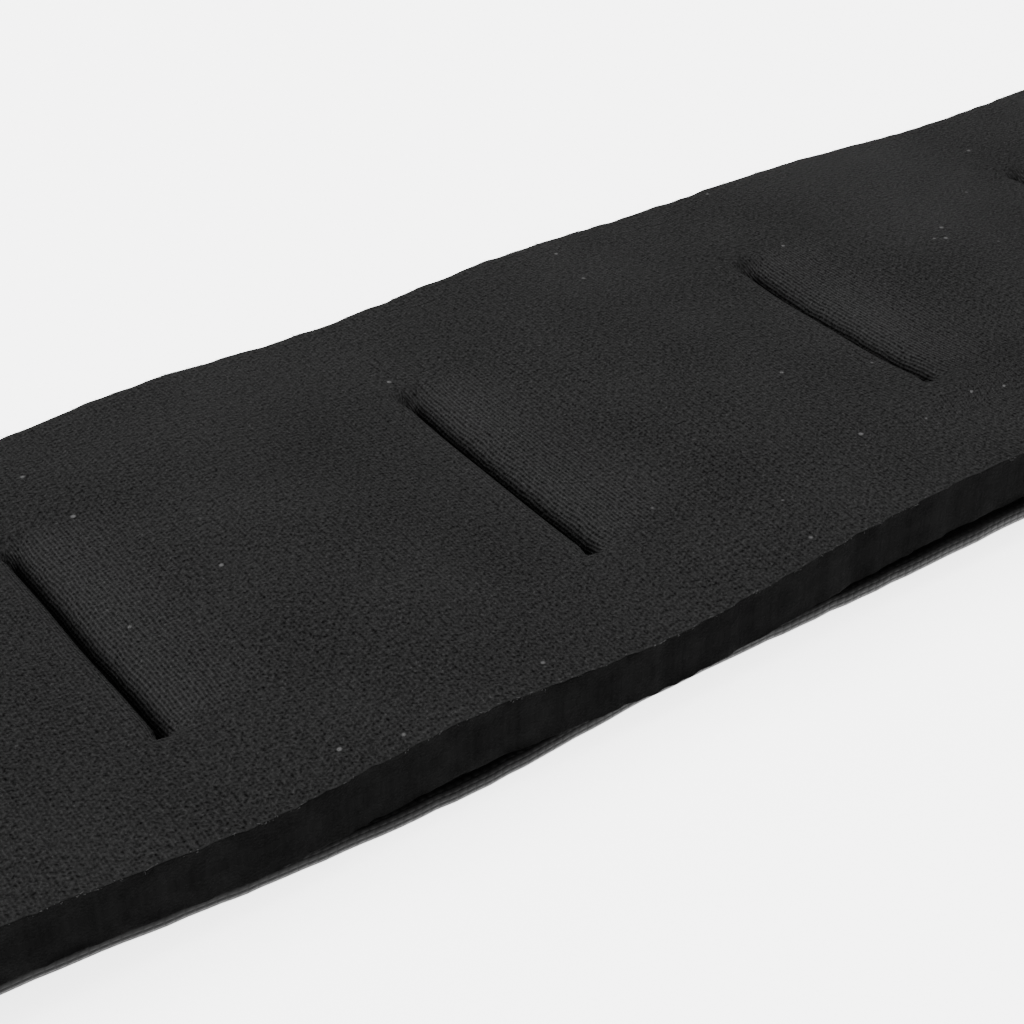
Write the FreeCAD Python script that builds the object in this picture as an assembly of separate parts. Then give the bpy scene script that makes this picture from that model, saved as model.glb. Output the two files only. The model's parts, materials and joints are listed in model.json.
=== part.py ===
"""A padded dive weight belt, laid out flat with its soft liner upwards.

The belt runs along X, its width is along Y and it rests on Z = 0. A 50 mm webbing carries a neoprene
liner on its inner face and a 25 mm loop webbing on its outer face. Transverse bar tacks at an even
pitch sew the three together. The left end (-X) holds a quick-release cam buckle, and the right end
is a free tail with an elastic keeper. The belt bends at bend lines beside every second tack, so each
layer is cut there into the lengths that move. All sizes are millimetres.
"""
import FreeCAD, Part
import math
import os

V = FreeCAD.Vector

# Tacks and bend lines
TACK_PITCH = 38.1              # 1.5 inches, the usual pitch of loop webbing
TACKS_EACH_SIDE = 10           # tacks on each side of the middle one
TACK_LENGTH = 26.4             # across the belt
BENDS_EACH_SIDE = 5            # bend lines in the liner, each side of the middle
BEND_BESIDE_TACK = 1.6         # a bend line lies this far to the right of its tack
LINER_BEND_DEG = 26.0          # most that the belt bends at one line
TAIL_BEND_DEG = 10.0
BUCKLE_END_BEND_DEG = 20.0
BEND_GAP = 0.15                # free space on each side of a bend line
BEND_MARGIN_DEG = 1.0

# Layers, from the surface that the belt lies on upwards
LOOP_WIDTH = 25.4
LOOP_THICKNESS = 1.2
LOOP_SLACK = 1.0               # how far a loop stands off the webbing between two tacks
LOOP_FLAT = 2.0                # half of the flat length at a tack
LOOP_RAMP = 7.0
LOOP_END = 5.0                 # how far the loop webbing runs past the last tack
WEBBING_WIDTH = 50.0
WEBBING_THICKNESS = 1.6
LINER_WIDTH = 55.0
LINER_THICKNESS = 5.0
LINER_RISE = 1.4               # how far the liner pillows up between two tacks
LINER_HALF_LENGTH = 400.0
LINER_CORNER_R = 8.0

WEBBING_BOTTOM = LOOP_THICKNESS + LOOP_SLACK
WEBBING_TOP = WEBBING_BOTTOM + WEBBING_THICKNESS
BEND_AXIS_Z = WEBBING_BOTTOM + WEBBING_THICKNESS / 2

# Tack stitching
GROOVE_FLOOR_ABOVE_WEBBING = 1.0
GROOVE_FLOOR_WIDTH = 2.0
GROOVE_TOP_WIDTH = 4.0
GROOVE_LENGTH = TACK_LENGTH + 0.6
TOP_STITCH_WIDTH = 1.8
TOP_STITCH_HEIGHT = 0.6
LOWER_STITCH_WIDTH = 2.2
LOWER_STITCH_HEIGHT = 0.5
LOWER_STITCH_INSET = 0.4       # from each edge of the loop webbing

# Free tail
TAIL_BEND_X = (402.0, 480.0, 575.0)
TAIL_RAMP = (486.0, 522.0)     # here the tail comes down to the surface
TAIL_END = 690.0
TAIL_CORNER_R = 10.0

# Elastic keeper on the tail
KEEPER_X = (408.0, 433.0)
KEEPER_WALL = 1.2
KEEPER_SIDE_CLEARANCE = 0.6
KEEPER_FACE_CLEARANCE = 0.35
KEEPER_OUTER_R = 1.8
KEEPER_INNER_R = 0.9

# Buckle, in its own axes: u away from the belt, v across it, w outwards from the wearer
BAR_R = 2.2
BAR_END_REACH = 3.0            # how far the bar runs into each side rail
FOLD_INNER_R = 2.5
PLATE_THICKNESS = 2.5
FRAME_WIDTH = 66.0
FRAME_U = (-3.0, 42.0)
FRAME_CORNER_R = 6.0
FRAME_RIM_R = 0.6
WINDOW_HALF_WIDTH = 26.5
CROSS_BAR_U = (9.0, 15.0)
END_BAR_U = 35.0
WINDOW_CORNER_R = 3.0
PIN_U = 12.0
PIN_W = 7.3
PIN_R = 2.5
PIN_HEAD_R = 3.6
PIN_HEAD_LENGTH = 1.2
PIN_HEAD_RIM_R = 0.6
LUG_R = 4.5
LUG_INNER_V = 27.0
LUG_THICKNESS = 2.5
LEVER_HALF_WIDTH = 26.2
LEVER_TIP_HALF_WIDTH = 19.0
BARREL_R = 4.2
BARREL_BORE_R = 2.55
LEVER_THICKNESS = 2.0
LEVER_TIP_U = 58.0
LEVER_LOW = (40.0, 7.6)        # u, w of the lever's lowest stretch
LEVER_TIP_W = 11.6
LEVER_ROOT_U = 18.0            # where the plate leaves the barrel
LEVER_ROOT_DROP = 0.7
LEVER_BEND_R = 8.0
LEVER_CORNER_R = 5.0
LEVER_RIM_R = 0.5
LEVER_RIB_R = 1.5
LEVER_RIB_HEIGHT = 1.1
LEVER_RIB_INSET = 5.0
LEVER_RIB_V = (-13.0, 13.0)
TOOTH_HEIGHT = 0.6
TOOTH_DEPTH = 0.3              # how far a tooth's foot lies inside the barrel
TOOTH_HALF_DEG = 9.0
TOOTH_DEG = (-110, -90, -70)
TOOTH_END_INSET = 2.0

BUCKLE_END_BEND_X = -402.0
BAR_X = -470.0
BAR_Z = PIN_W + LUG_R          # the frame's lugs stand on the surface
RAMP_START_X = -406.0          # from here the webbing climbs to the buckle's bar
RAMP_END_X = BAR_X + 4.0
FOLD_END_X = -410.0            # the end of the webbing that is folded back
FOLD_STITCH_X = (-437.0, -414.0)
FOLD_STITCH_HALF_WIDTH = 20.0
FOLD_THREAD_WIDTH = 0.9
FOLD_THREAD_HEIGHT = 0.35

# The frame's origin is under the middle of the whole belt
LEFT_END_X = BAR_X - LEVER_TIP_U
MIDDLE_X = (LEFT_END_X + TAIL_END) / 2

CUTTER_REACH = 60.0            # longer than any cut needs
SAME = 1e-4                    # two places closer than this are the same


def strip(outline, width):
    """A band across the belt from its side outline, a list of (x, z) corners."""
    corners = [V(x, -width / 2, z) for x, z in outline]
    face = Part.Face(Part.makePolygon(corners + corners[:1]))
    return face.extrude(V(0, width, 0))


def box(x0, x1, y0, y1, z0, z1):
    return Part.makeBox(x1 - x0, y1 - y0, z1 - z0, V(x0, y0, z0))


def rounded_slab(x0, x1, half_width, z0, z1, radius):
    """A flat box whose four upright edges are rounded."""
    slab = box(x0, x1, -half_width, half_width, z0, z1)
    upright = [e for e in slab.Edges if abs(e.tangentAt(e.FirstParameter).z) > 0.9]
    return slab.makeFillet(radius, upright)


def tack_positions():
    return [TACK_PITCH * k for k in range(-TACKS_EACH_SIDE, TACKS_EACH_SIDE + 1)]


def liner_bend_positions():
    """The bend lines in the liner, from left to right."""
    first = -(2 * BENDS_EACH_SIDE - 1)
    steps = range(first, -first + 1, 2)
    return [TACK_PITCH * k + BEND_BESIDE_TACK for k in steps]


def bend_wedge(x, z, bend_deg):
    """The space that a bend line needs: a thin slot, opening into a notch above the bend's axis."""
    slope = math.tan(math.radians(bend_deg / 2 + BEND_MARGIN_DEG))
    spread = BEND_GAP + CUTTER_REACH * slope
    outline = [
        (x - BEND_GAP, -CUTTER_REACH),
        (x + BEND_GAP, -CUTTER_REACH),
        (x + BEND_GAP, z),
        (x + spread, z + CUTTER_REACH),
        (x - spread, z + CUTTER_REACH),
        (x - BEND_GAP, z),
    ]
    return strip(outline, 2 * CUTTER_REACH)


def liner_wedges():
    return [bend_wedge(x, BEND_AXIS_Z, LINER_BEND_DEG) for x in liner_bend_positions()]


def end_wedges():
    """The bend lines of the free webbing: one at the buckle's end and the rest in the tail."""
    wedges = [bend_wedge(BUCKLE_END_BEND_X, BEND_AXIS_Z, BUCKLE_END_BEND_DEG)]
    for x in TAIL_BEND_X:
        wedges.append(bend_wedge(x, webbing_height(x) + WEBBING_THICKNESS / 2, TAIL_BEND_DEG))
    return wedges


def pieces_left_to_right(shape):
    return sorted(shape.Solids, key=lambda solid: solid.CenterOfMass.x)


def pillow_height(x):
    """How far the liner stands off the webbing at x: nothing at a tack, and most half way between."""
    phase = (x / TACK_PITCH) % 1.0
    return LINER_RISE * (1 - (2 * phase - 1) ** 2)


def pillow_edges(xs, base):
    """Arcs along the liner's lower or upper side, through the heights at xs and half way between."""
    edges = []
    for x0, x1 in zip(xs, xs[1:]):
        middle = (x0 + x1) / 2
        points = [V(x, 0, base + pillow_height(x)) for x in (x0, middle, x1)]
        edges.append(Part.Arc(*points).toShape())
    return edges


def liner():
    """The neoprene liner, pillowed between the tacks and grooved where each tack pulls it down."""
    xs = [-LINER_HALF_LENGTH] + tack_positions() + [LINER_HALF_LENGTH]
    lower = pillow_edges(xs, WEBBING_TOP)
    upper = pillow_edges(xs, WEBBING_TOP + LINER_THICKNESS)
    end_edges = []
    for x in (-LINER_HALF_LENGTH, LINER_HALF_LENGTH):
        z = WEBBING_TOP + pillow_height(x)
        end_edges.append(Part.makeLine(V(x, 0, z), V(x, 0, z + LINER_THICKNESS)))
    edges = Part.sortEdges(lower + upper + end_edges)[0]
    side = Part.Face(Part.Wire(edges))
    side.translate(V(0, -LINER_WIDTH / 2, 0))
    band = side.extrude(V(0, LINER_WIDTH, 0))
    outline = rounded_slab(
        -LINER_HALF_LENGTH,
        LINER_HALF_LENGTH,
        LINER_WIDTH / 2,
        -CUTTER_REACH,
        CUTTER_REACH,
        LINER_CORNER_R,
    )
    band = band.common(outline)
    grooves = [tack_groove(x) for x in tack_positions()]
    return pieces_left_to_right(band.cut(grooves + liner_wedges()))


def tack_groove(x):
    floor = WEBBING_TOP + GROOVE_FLOOR_ABOVE_WEBBING
    top = WEBBING_TOP + LINER_THICKNESS + LINER_RISE
    outline = [
        (x - GROOVE_FLOOR_WIDTH / 2, floor),
        (x + GROOVE_FLOOR_WIDTH / 2, floor),
        (x + GROOVE_TOP_WIDTH / 2, top),
        (x - GROOVE_TOP_WIDTH / 2, top),
    ]
    return strip(outline, GROOVE_LENGTH)


def webbing_height(x):
    """The underside of the main webbing at x."""
    if x <= RAMP_END_X:
        return BAR_Z + FOLD_INNER_R
    if x < RAMP_START_X:
        share = (RAMP_START_X - x) / (RAMP_START_X - RAMP_END_X)
        return WEBBING_BOTTOM + share * (BAR_Z + FOLD_INNER_R - WEBBING_BOTTOM)
    if x <= TAIL_RAMP[0]:
        return WEBBING_BOTTOM
    if x < TAIL_RAMP[1]:
        share = (TAIL_RAMP[1] - x) / (TAIL_RAMP[1] - TAIL_RAMP[0])
        return WEBBING_BOTTOM * share
    return 0.0


def webbing():
    """The main webbing, with its left end folded round the buckle's bar and back under itself."""
    xs = [BAR_X, RAMP_END_X, RAMP_START_X, TAIL_RAMP[0], TAIL_RAMP[1], TAIL_END]
    under = [(x, webbing_height(x)) for x in xs]
    over = [(x, z + WEBBING_THICKNESS) for x, z in reversed(under)]
    band = strip(under + over, WEBBING_WIDTH)
    tail_shape = rounded_slab(
        BAR_X, TAIL_END, WEBBING_WIDTH / 2, -CUTTER_REACH, CUTTER_REACH, TAIL_CORNER_R
    )
    tail_half = box(0, TAIL_END, -WEBBING_WIDTH, WEBBING_WIDTH, -CUTTER_REACH, CUTTER_REACH)
    band = band.cut(tail_half.cut(tail_shape))

    fold_outer = across(FOLD_INNER_R + WEBBING_THICKNESS, WEBBING_WIDTH / 2, BAR_X, BAR_Z)
    fold_inner = across(FOLD_INNER_R, WEBBING_WIDTH / 2, BAR_X, BAR_Z)
    left_of_bar = box(BAR_X - CUTTER_REACH, BAR_X, -WEBBING_WIDTH, WEBBING_WIDTH, 0, CUTTER_REACH)
    round_end = fold_outer.cut(fold_inner).common(left_of_bar)

    # The folded layer runs level from under the bar until it meets the main layer, then along it.
    meet_z = BAR_Z - FOLD_INNER_R
    climb = webbing_height(RAMP_END_X) - webbing_height(RAMP_START_X)
    slope = climb / (RAMP_START_X - RAMP_END_X)
    meet_x = RAMP_END_X + (webbing_height(RAMP_END_X) - meet_z) / slope
    top = [(BAR_X, meet_z), (meet_x, meet_z), (FOLD_END_X, webbing_height(FOLD_END_X))]
    bottom = [(x, z - WEBBING_THICKNESS) for x, z in reversed(top)]
    folded = strip(top + bottom, WEBBING_WIDTH)
    whole = band.fuse([round_end, folded]).removeSplitter()
    return pieces_left_to_right(whole.cut(liner_wedges() + end_wedges()))


def loops():
    """The loop webbing on the outer face: flat at each tack and standing off between two tacks."""
    slack_z = WEBBING_BOTTOM - LOOP_SLACK
    last = TACK_PITCH * TACKS_EACH_SIDE
    over = [(-last - LOOP_END, WEBBING_BOTTOM)]
    for x in tack_positions()[:-1]:
        over.append((x + LOOP_FLAT, WEBBING_BOTTOM))
        over.append((x + LOOP_FLAT + LOOP_RAMP, slack_z))
        over.append((x + TACK_PITCH - LOOP_FLAT - LOOP_RAMP, slack_z))
        over.append((x + TACK_PITCH - LOOP_FLAT, WEBBING_BOTTOM))
    over.append((last + LOOP_END, WEBBING_BOTTOM))
    under = [(x, z - LOOP_THICKNESS) for x, z in reversed(over)]
    band = strip(over + under, LOOP_WIDTH)
    return pieces_left_to_right(band.cut(liner_wedges()))


def tack_stitches(x):
    """One bar tack: the thread in the liner's groove and the thread on the loop webbing."""
    half = TACK_LENGTH / 2
    side = TOP_STITCH_WIDTH / 2
    floor = WEBBING_TOP + GROOVE_FLOOR_ABOVE_WEBBING
    top = box(x - side, x + side, -half, half, floor, floor + TOP_STITCH_HEIGHT)
    half = LOOP_WIDTH / 2 - LOWER_STITCH_INSET
    side = LOWER_STITCH_WIDTH / 2
    under = WEBBING_BOTTOM - LOOP_THICKNESS
    lower = box(x - side, x + side, -half, half, under - LOWER_STITCH_HEIGHT, under)
    return [top, lower]


def fold_stitching():
    """A box with a cross through it, sewn through both layers of the fold, seen on each face."""
    x0, x1 = FOLD_STITCH_X
    half = FOLD_STITCH_HALF_WIDTH
    length = x1 - x0
    wide = FOLD_THREAD_WIDTH
    rows = [
        box(0, length, -half, -half + wide, 0, FOLD_THREAD_HEIGHT),
        box(0, length, half - wide, half, 0, FOLD_THREAD_HEIGHT),
        box(0, wide, -half, half, 0, FOLD_THREAD_HEIGHT),
        box(length - wide, length, -half, half, 0, FOLD_THREAD_HEIGHT),
    ]
    diagonal = math.hypot(length - wide, 2 * half - wide)
    angle = math.degrees(math.atan2(2 * half - wide, length - wide))
    for sign in (-1, 1):
        row = box(-diagonal / 2, diagonal / 2, -wide / 2, wide / 2, 0, FOLD_THREAD_HEIGHT)
        row.rotate(V(0, 0, 0), V(0, 0, 1), sign * angle)
        row.translate(V(length / 2, 0, 0))
        rows.append(row)
    pattern = rows[0].fuse(rows[1:]).removeSplitter()

    drop = webbing_height(x0) - webbing_height(x1)
    tilt = math.degrees(math.atan2(drop, length))
    faces = []
    for z in (webbing_height(x0) + WEBBING_THICKNESS, webbing_height(x0) - WEBBING_THICKNESS):
        face = pattern.copy()
        if z < webbing_height(x0):
            face.translate(V(0, 0, -FOLD_THREAD_HEIGHT))
        face.rotate(V(0, 0, 0), V(0, 1, 0), tilt)
        face.translate(V(x0, 0, z))
        faces.append(face)
    return faces


def keeper():
    """The elastic band that holds the spare tail against the belt."""
    inner_half = WEBBING_WIDTH / 2 + KEEPER_SIDE_CLEARANCE
    z0 = WEBBING_BOTTOM - KEEPER_FACE_CLEARANCE
    z1 = WEBBING_TOP + KEEPER_FACE_CLEARANCE
    outer_half = inner_half + KEEPER_WALL
    outer = band_block(outer_half, z0 - KEEPER_WALL, z1 + KEEPER_WALL, KEEPER_OUTER_R)
    inner = band_block(inner_half, z0, z1, KEEPER_INNER_R)
    return outer.cut(inner)


def band_block(half_width, z0, z1, radius):
    block = box(KEEPER_X[0], KEEPER_X[1], -half_width, half_width, z0, z1)
    along = [e for e in block.Edges if abs(e.tangentAt(e.FirstParameter).x) > 0.9]
    return block.makeFillet(radius, along)


def plate_edges(shape, z0, z1):
    """The edges that lie in the two broad faces of a plate."""
    return [
        e for e in shape.Edges
        if abs(e.BoundBox.ZMax - e.BoundBox.ZMin) < SAME
        and min(abs(e.BoundBox.ZMin - z0), abs(e.BoundBox.ZMin - z1)) < SAME
    ]


def across(radius, half_length, u, w):
    """A round bar across the belt."""
    return Part.makeCylinder(radius, 2 * half_length, V(u, -half_length, w), V(0, 1, 0))


def buckle_frame():
    """The pressed frame: two side rails, the bar that the webbing holds, a cross bar and an end bar."""
    half = PLATE_THICKNESS / 2
    plate = rounded_slab(FRAME_U[0], FRAME_U[1], FRAME_WIDTH / 2, -half, half, FRAME_CORNER_R)
    mouth_start = FRAME_U[0] - CUTTER_REACH
    mouth = box(mouth_start, CROSS_BAR_U[0], -WINDOW_HALF_WIDTH, WINDOW_HALF_WIDTH, -half, half)
    window = rounded_slab(CROSS_BAR_U[1], END_BAR_U, WINDOW_HALF_WIDTH, -half, half, WINDOW_CORNER_R)
    plate = plate.cut([mouth, window])
    plate = plate.makeFillet(FRAME_RIM_R, plate_edges(plate, -half, half))
    frame = plate.fuse(across(BAR_R, WINDOW_HALF_WIDTH + BAR_END_REACH, 0, 0))
    for side in (-1, 1):
        v0 = min(side * LUG_INNER_V, side * (LUG_INNER_V + LUG_THICKNESS))
        lug = box(PIN_U - LUG_R, PIN_U + LUG_R, v0, v0 + LUG_THICKNESS, 0, PIN_W)
        eye = Part.makeCylinder(LUG_R, LUG_THICKNESS, V(PIN_U, v0, PIN_W), V(0, 1, 0))
        frame = frame.fuse([lug, eye])
    return frame.cut(across(PIN_R, FRAME_WIDTH, PIN_U, PIN_W)).removeSplitter()


def buckle_pin():
    """The rivet that the lever turns on, with a head outside each lug."""
    shank = across(PIN_R, LUG_INNER_V + LUG_THICKNESS, PIN_U, PIN_W)
    heads = []
    for side in (-1, 1):
        v0 = side * (LUG_INNER_V + LUG_THICKNESS)
        head = Part.makeCylinder(PIN_HEAD_R, PIN_HEAD_LENGTH, V(PIN_U, v0, PIN_W), V(0, side, 0))
        outer_v = v0 + side * PIN_HEAD_LENGTH
        rim = [e for e in head.Edges if abs(e.BoundBox.YMin - outer_v) < SAME]
        heads.append(head.makeFillet(PIN_HEAD_RIM_R, rim))
    return shank.fuse(heads).removeSplitter()


def lever_plate():
    """The lever's bent plate, in plan narrower towards its upturned finger tab."""
    low_u, low_w = LEVER_LOW
    root_w = PIN_W + BARREL_R
    over = [
        (PIN_U, root_w),
        (LEVER_ROOT_U, root_w - LEVER_ROOT_DROP),
        (low_u, low_w),
        (LEVER_TIP_U, LEVER_TIP_W),
    ]
    under = [(u, w - LEVER_THICKNESS) for u, w in reversed(over)]
    plate = strip(over + under, 2 * LEVER_HALF_WIDTH)
    bends = [
        e for e in plate.Edges
        if abs(e.tangentAt(e.FirstParameter).y) > 0.9 and abs(e.BoundBox.XMin - low_u) < SAME
    ]
    plate = plate.makeFillet(LEVER_BEND_R, bends)
    outline = [
        V(0, -LEVER_HALF_WIDTH, 0),
        V(low_u, -LEVER_HALF_WIDTH, 0),
        V(LEVER_TIP_U, -LEVER_TIP_HALF_WIDTH, 0),
        V(LEVER_TIP_U, LEVER_TIP_HALF_WIDTH, 0),
        V(low_u, LEVER_HALF_WIDTH, 0),
        V(0, LEVER_HALF_WIDTH, 0),
        V(0, -LEVER_HALF_WIDTH, 0),
    ]
    plan = Part.Face(Part.makePolygon(outline)).extrude(V(0, 0, CUTTER_REACH))
    upright = [
        e for e in plan.Edges
        if abs(e.tangentAt(e.FirstParameter).z) > 0.9 and e.BoundBox.XMin > PIN_U
    ]
    plate = plate.common(plan.makeFillet(LEVER_CORNER_R, upright))
    return plate.makeFillet(LEVER_RIM_R, [e for e in plate.Edges if on_lever_rim(e)])


def on_lever_rim(edge):
    """True for an edge between one of the plate's broad faces and its side, clear of the barrel."""
    clear = edge.BoundBox.XMin > PIN_U + SAME
    tangent = edge.tangentAt(edge.FirstParameter)
    crosswise = abs(tangent.y) > 0.9 and edge.BoundBox.XMax < LEVER_TIP_U - SAME
    upright = abs(tangent.z) > 0.9
    return clear and not crosswise and not upright


def lever_rib(v):
    """A pressed rib that stiffens the lever, standing a little out of its outer face."""
    low_u, low_w = LEVER_LOW
    root_w = PIN_W + BARREL_R - LEVER_ROOT_DROP
    start = V(LEVER_ROOT_U + LEVER_RIB_INSET, v, 0)
    end = V(low_u - LEVER_RIB_INSET, v, 0)
    for point in (start, end):
        share = (point.x - LEVER_ROOT_U) / (low_u - LEVER_ROOT_U)
        point.z = root_w + share * (low_w - root_w) - LEVER_RIB_R + LEVER_RIB_HEIGHT
    run = end - start
    rib = Part.makeCylinder(LEVER_RIB_R, run.Length, start, run)
    return rib.fuse([Part.makeSphere(LEVER_RIB_R, start), Part.makeSphere(LEVER_RIB_R, end)])


def buckle_lever():
    """The cam lever: a barrel on the pin with gripping teeth, and a plate with an upturned finger tab."""
    parts = [across(BARREL_R, LEVER_HALF_WIDTH, PIN_U, PIN_W)]
    parts += [lever_rib(v) for v in LEVER_RIB_V]
    parts += [tooth(degrees) for degrees in TOOTH_DEG]
    lever = lever_plate().fuse(parts)
    return lever.cut(across(BARREL_BORE_R, CUTTER_REACH, PIN_U, PIN_W)).removeSplitter()


def tooth(degrees):
    """One ridge along the barrel, which presses the webbing on the cross bar when the lever is shut."""
    foot = BARREL_R - TOOTH_DEPTH
    corners = []
    for turn, radius in ((-TOOTH_HALF_DEG, foot), (0, BARREL_R + TOOTH_HEIGHT), (TOOTH_HALF_DEG, foot)):
        angle = math.radians(degrees + turn)
        corners.append((PIN_U + radius * math.cos(angle), PIN_W + radius * math.sin(angle)))
    return strip(corners, 2 * (LEVER_HALF_WIDTH - TOOTH_END_INSET))


def on_belt(shape):
    """Turns a buckle piece from its own axes to its place on the belt, outer side down."""
    shape.rotate(V(0, 0, 0), V(0, 1, 0), 180)
    shape.translate(V(BAR_X, 0, BAR_Z))
    return shape


def save(name, solids):
    """Writes one node, moved so that the frame's origin is under the middle of the belt."""
    shape = Part.makeCompound(solids) if len(solids) > 1 else solids[0]
    shape.translate(V(-MIDDLE_X, 0, 0))
    for solid in shape.Solids:
        if not solid.isValid():
            raise ValueError(name + " is not valid")
    shape.exportStep(os.path.join("parts", name + ".step"))


def segment_names():
    """The lengths of the lined belt between bend lines, from left to right."""
    left = ["left_%d" % k for k in range(BENDS_EACH_SIDE, 0, -1)]
    right = ["right_%d" % k for k in range(1, BENDS_EACH_SIDE + 1)]
    return left + ["mid"] + right


def main():
    os.makedirs("parts", exist_ok=True)
    names = segment_names()
    bends = liner_bend_positions()

    for name, solid in zip(names, liner()):
        save("liner_" + name, [solid])
    for name, solid in zip(names, loops()):
        save("loops_" + name, [solid])
    webbing_names = ["webbing_buckle_end"] + ["webbing_" + name for name in names]
    webbing_names += ["webbing_tail_%d" % k for k in range(1, len(TAIL_BEND_X) + 1)]
    for name, solid in zip(webbing_names, webbing()):
        save(name, [solid])

    edges = [-LINER_HALF_LENGTH] + bends + [LINER_HALF_LENGTH]
    for name, x0, x1 in zip(names, edges, edges[1:]):
        stitches = []
        for x in tack_positions():
            if x0 < x < x1:
                stitches += tack_stitches(x)
        save("tacks_" + name, stitches)

    save("fold_stitching", fold_stitching())
    save("tail_keeper", [keeper()])
    save("buckle_frame", [on_belt(buckle_frame())])
    save("buckle_pin", [on_belt(buckle_pin())])
    save("buckle_lever", [on_belt(buckle_lever())])


main()
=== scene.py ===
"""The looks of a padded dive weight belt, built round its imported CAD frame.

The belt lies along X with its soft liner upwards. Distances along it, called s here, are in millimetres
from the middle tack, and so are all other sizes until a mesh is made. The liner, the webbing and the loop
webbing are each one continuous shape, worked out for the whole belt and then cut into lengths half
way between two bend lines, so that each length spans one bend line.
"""
import json
import math

import bpy
import numpy as np
from mathutils import Matrix, Vector


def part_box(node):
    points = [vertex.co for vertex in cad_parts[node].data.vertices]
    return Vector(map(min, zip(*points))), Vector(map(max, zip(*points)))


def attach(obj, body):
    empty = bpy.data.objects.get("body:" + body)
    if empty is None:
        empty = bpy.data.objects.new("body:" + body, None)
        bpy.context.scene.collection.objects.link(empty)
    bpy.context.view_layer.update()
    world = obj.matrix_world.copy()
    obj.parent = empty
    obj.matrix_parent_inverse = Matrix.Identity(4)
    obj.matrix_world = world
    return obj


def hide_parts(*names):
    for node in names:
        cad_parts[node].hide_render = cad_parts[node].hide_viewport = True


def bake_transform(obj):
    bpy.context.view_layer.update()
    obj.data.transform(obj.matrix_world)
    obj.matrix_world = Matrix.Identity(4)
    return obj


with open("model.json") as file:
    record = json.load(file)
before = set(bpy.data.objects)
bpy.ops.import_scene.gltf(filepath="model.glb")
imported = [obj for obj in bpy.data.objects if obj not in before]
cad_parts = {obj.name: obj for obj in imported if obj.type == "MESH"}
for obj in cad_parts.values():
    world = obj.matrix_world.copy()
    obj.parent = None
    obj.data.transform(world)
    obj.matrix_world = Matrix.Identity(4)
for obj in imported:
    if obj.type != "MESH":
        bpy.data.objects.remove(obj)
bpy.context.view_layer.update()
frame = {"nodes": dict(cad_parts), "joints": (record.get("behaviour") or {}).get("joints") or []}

MM = 0.001
JOINTS = {joint["name"]: joint for joint in frame["joints"]}
BENDS_EACH_SIDE = 5
TACKS_EACH_SIDE = 10
BEND_BESIDE_TACK = 1.6
NEAREST_RIGHT = JOINTS["bend_right_1"]["pos_m"][0] / MM
NEAREST_LEFT = JOINTS["bend_left_1"]["pos_m"][0] / MM
PITCH = (NEAREST_RIGHT - NEAREST_LEFT) / 2
MIDDLE_X = (NEAREST_RIGHT + NEAREST_LEFT) / 2 - BEND_BESIDE_TACK

# Layers, from the floor upwards
LOOP_WIDTH = 25.4
LOOP_THICKNESS = 1.2
LOOP_SLACK = 1.0
LOOP_RAMP = 11.0
LOOP_BULGE = 0.12
LOOP_GAP = 0.10                # at a tack, between the loop webbing and the webbing
LOOP_FLOOR_GAP = 0.26
LOOP_PAST_TACK = 5.0           # the loop webbing runs on this far past the last tacks
LOOP_WAVINESS = 0.05
WEBBING_WIDTH = 50.0
WEBBING_THICKNESS = 1.6
WEBBING_BOTTOM = LOOP_THICKNESS + LOOP_SLACK
WEBBING_TOP = WEBBING_BOTTOM + WEBBING_THICKNESS
LINER_WIDTH = 55.0
LINER_THICKNESS = 5.0
LINER_END = 400.0
LINER_CORNER_R = 8.0
LINER_EDGE_R = 0.2
SIDE_HOLLOW = 0.10
SIDE_UNEVENNESS = 0.08
LINER_LEVEL = WEBBING_TOP + LINER_THICKNESS

# The dents that the tacks make in the liner. Their right-hand walls roll over more gently than the left.
DENT_LENGTH = 28.0
DENT_SHIFT_Y = -1.3
DENT_DEPTH = 3.6
DENT_HALF_GAP = 0.1
DENT_END_TAPER = 2.6
DENT_PAST_END = 0.8
# For each side of a dent: how much of the liner it takes in, its shoulder's radius, and the depth where the
# painted shade that darkens its crease starts
DENT_LEFT = (3.8, 1.7, 0.1)
DENT_RIGHT = (5.2, 2.9, 0.5)
# For each known dent: its shift to the right, how far its ends stand to the right of its middle, and how
# much shorter it is at its near end
DENT_HABITS = {0: (-0.4, 0.2, 0.0), 1: (0.0, 0.3, 0.0), 2: (0.5, 0.9, 1.9)}
RIBS_FADE_OVER = (4.0, 13.0)   # the ribs fade out over these distances to the left and right of a dent
RIBS_OVER = 2.0                # they come in over this length of cloth, and the painted shade, which darkens the jersey deep in a crease, over this depth
PAINTED_SHADE_OVER = 1.3
# The shallow dish round a dent, the bow of its crease, the small folds past its ends, the face's ripple
DISH_DEPTH = 0.3
DISH_REACH = 9.0
DISH_PAST_END = 7.0
DISH_FADE = 11.0
BOW_REACH = 7.0
BOW_FADE = 5.0
PUCKER_HEIGHT = 0.06
PUCKER_REACH = 2.2
RIPPLE = 0.05

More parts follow.
